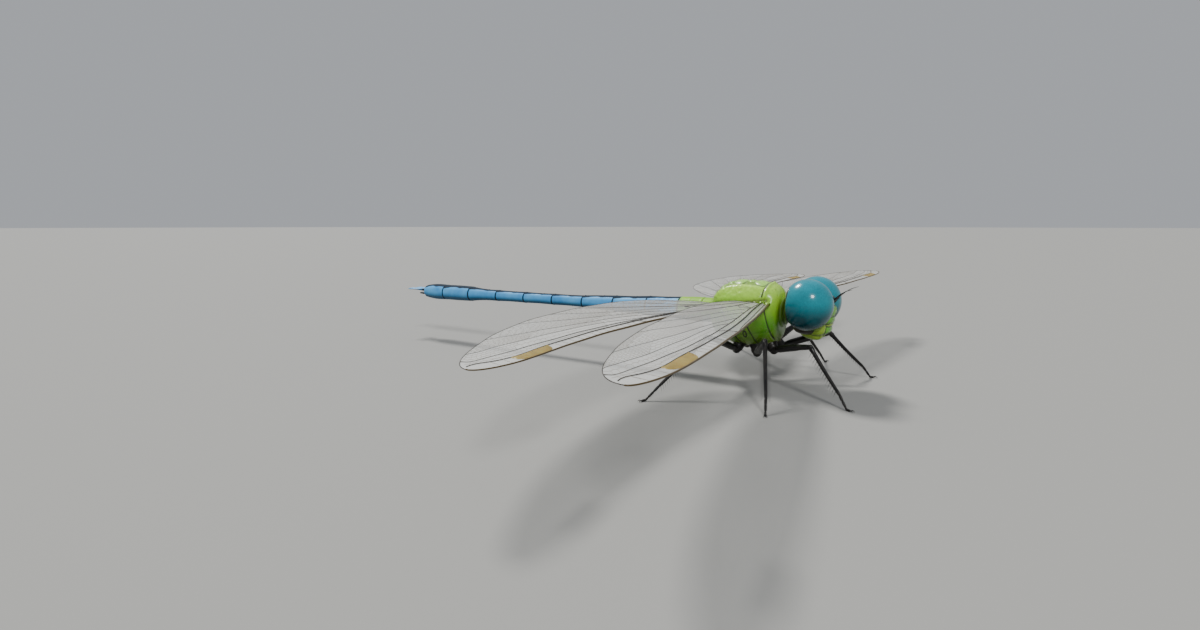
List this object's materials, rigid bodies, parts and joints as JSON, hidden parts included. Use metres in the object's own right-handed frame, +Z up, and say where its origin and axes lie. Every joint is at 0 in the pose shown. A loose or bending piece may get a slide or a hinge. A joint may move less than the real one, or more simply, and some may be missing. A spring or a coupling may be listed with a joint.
{
  "type": "emperor dragonfly",
  "caption": "Life-size male dragonfly standing on its feet, wings spread flat: green thorax, blue ringed abdomen, large teal eyes, clear veined wings, black legs.",
  "frame": {"origin": "on the floor plane, under the middle of the bounding box", "axes": "+Z up; the head looks along -Y and the abdomen points along +Y; +X is the animal's left, along its wings"},
  "size_m": [0.0988, 0.0808, 0.014],
  "materials": {
    "thorax_cuticle": "satin green cuticle with fine short hair",
    "abdomen_cuticle": "satin sky blue cuticle with a black line along the back and dark joints",
    "eye_facets": "glossy teal, finely faceted",
    "wing_membrane": "thin clear membrane between dark veins",
    "wing_vein": "satin dark brown vein",
    "pterostigma": "satin ochre, slightly see-through",
    "leg_cuticle": "satin black cuticle with spines",
    "appendage_cuticle": "satin dark brown cuticle"
  },
  "bodies": {
    "root": {"abdomen_01": "thorax_cuticle", "abdomen_02": "abdomen_cuticle", "abdomen_03": "abdomen_cuticle", "abdomen_04": "abdomen_cuticle", "abdomen_05": "abdomen_cuticle", "abdomen_06": "abdomen_cuticle", "abdomen_07": "abdomen_cuticle", "abdomen_08": "abdomen_cuticle", "abdomen_09": "abdomen_cuticle", "abdomen_10": "abdomen_cuticle", "antenna_left": "leg_cuticle", "antenna_right": "leg_cuticle", "cercus_left": "appendage_cuticle", "cercus_right": "appendage_cuticle", "epiproct": "appendage_cuticle", "eye_left": "eye_facets", "eye_right": "eye_facets", "fore_leg_left_femur": "leg_cuticle", "fore_leg_left_tarsus": "leg_cuticle", "fore_leg_left_tibia": "leg_cuticle", "fore_leg_right_femur": "leg_cuticle", "fore_leg_right_tarsus": "leg_cuticle", "fore_leg_right_tibia": "leg_cuticle", "fore_wing_left": "wing_membrane", "fore_wing_right": "wing_membrane", "head": "thorax_cuticle", "hind_leg_left_femur": "leg_cuticle", "hind_leg_left_tarsus": "leg_cuticle", "hind_leg_left_tibia": "leg_cuticle", "hind_leg_right_femur": "leg_cuticle", "hind_leg_right_tarsus": "leg_cuticle", "hind_leg_right_tibia": "leg_cuticle", "hind_wing_left": "wing_membrane", "hind_wing_right": "wing_membrane", "mid_leg_left_femur": "leg_cuticle", "mid_leg_left_tarsus": "leg_cuticle", "mid_leg_left_tibia": "leg_cuticle", "mid_leg_right_femur": "leg_cuticle", "mid_leg_right_tarsus": "leg_cuticle", "mid_leg_right_tibia": "leg_cuticle", "prothorax": "thorax_cuticle", "thorax": "thorax_cuticle"}
  },
  "joints": []
}
